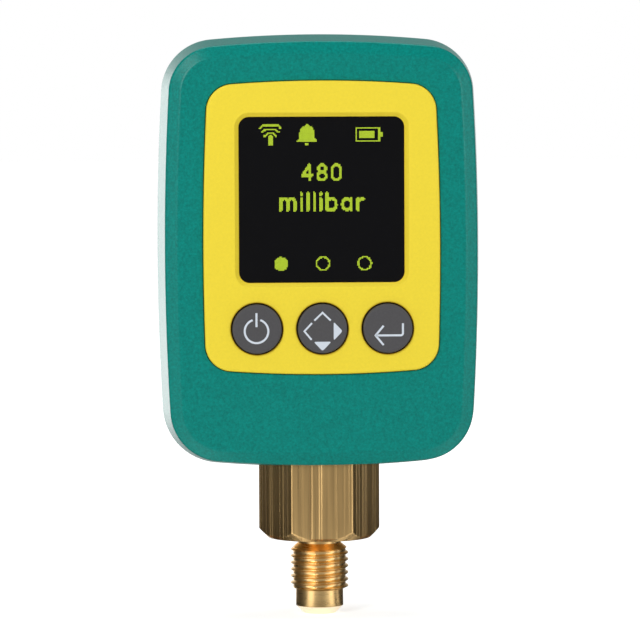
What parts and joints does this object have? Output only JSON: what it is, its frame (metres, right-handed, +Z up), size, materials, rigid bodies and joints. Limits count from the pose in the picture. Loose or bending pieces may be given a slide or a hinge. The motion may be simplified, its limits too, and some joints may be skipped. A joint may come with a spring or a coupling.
{
  "type": "digital vacuum gauge",
  "caption": "Hand-held digital vacuum gauge with a rounded housing, a raised panel round a square display, round keys and a brass flare adapter below.",
  "frame": {"origin": "on the flare adapter's axis, at the lower end of its thread", "axes": "+Z up along the adapter's axis, +X to the right as seen from the front, the display faces -Y"},
  "size_m": [0.061, 0.0291, 0.11],
  "materials": {
    "green_shell": "fine grain",
    "green_rear": "fine grain",
    "yellow_panel": "satin",
    "window_lens": "glossy",
    "grey_key": "satin",
    "brass": "turned",
    "screw_steel": "satin",
    "insert_brass": "knurled",
    "seal_rubber": "matt",
    "tape_black": "matt",
    "display_glass": "glossy",
    "holder_white": "matt",
    "ribbon_film": "glossy",
    "connector_plastic": "matt",
    "board_green": "satin",
    "chip_black": "matt",
    "can_steel": "satin",
    "capacitor_ceramic": "matt",
    "switch_black": "matt",
    "cell_label": "satin",
    "contact_nickel": "bright",
    "lead_red": "satin",
    "lead_black": "satin"
  },
  "bodies": {
    "housing": {"arrow_switch": "switch_black", "battery_door": "green_rear", "black_lead": "lead_black", "board_screws": "screw_steel", "bridge_contact": "contact_nickel", "buzzer": "chip_black", "capacitors": "capacitor_ceramic", "circuit_board": "board_green", "cover_inserts": "insert_brass", "display_connector": "connector_plastic", "display_holder": "holder_white", "display_panel": "display_glass", "display_ribbon": "ribbon_film", "display_window": "window_lens", "door_insert": "insert_brass", "door_screw": "screw_steel", "door_seal": "seal_rubber", "enter_switch": "switch_black", "front_cover": "green_shell", "front_panel": "yellow_panel", "housing_screws": "screw_steel", "housing_seal": "seal_rubber", "left_cell": "cell_label", "negative_contact": "contact_nickel", "positive_contact": "contact_nickel", "power_switch": "switch_black", "processor_chip": "chip_black", "radio_module": "can_steel", "rear_cover": "green_rear", "red_lead": "lead_red", "right_cell": "cell_label", "sensor_board": "board_green", "sensor_can": "can_steel", "sensor_connector": "connector_plastic", "sensor_nut": "insert_brass", "sensor_ribbon": "ribbon_film", "sensor_seal": "seal_rubber", "vacuum_adapter": "brass", "window_tape": "tape_black"},
    "power_button": {"power_key": "grey_key", "power_plunger": "switch_black"},
    "arrow_button": {"arrow_key": "grey_key", "arrow_plunger": "switch_black"},
    "enter_button": {"enter_key": "grey_key", "enter_plunger": "switch_black"}
  },
  "joints": [
    {"name": "power_press", "type": "slide", "parent": "housing", "child": "power_button", "axis": [0, 1, 0], "range_m": [0, 0.0004], "stiffness_N_per_m": 3300},
    {"name": "arrow_press", "type": "slide", "parent": "housing", "child": "arrow_button", "axis": [0, 1, 0], "range_m": [0, 0.0004], "stiffness_N_per_m": 3300},
    {"name": "enter_press", "type": "slide", "parent": "housing", "child": "enter_button", "axis": [0, 1, 0], "range_m": [0, 0.0004], "stiffness_N_per_m": 3300}
  ]
}
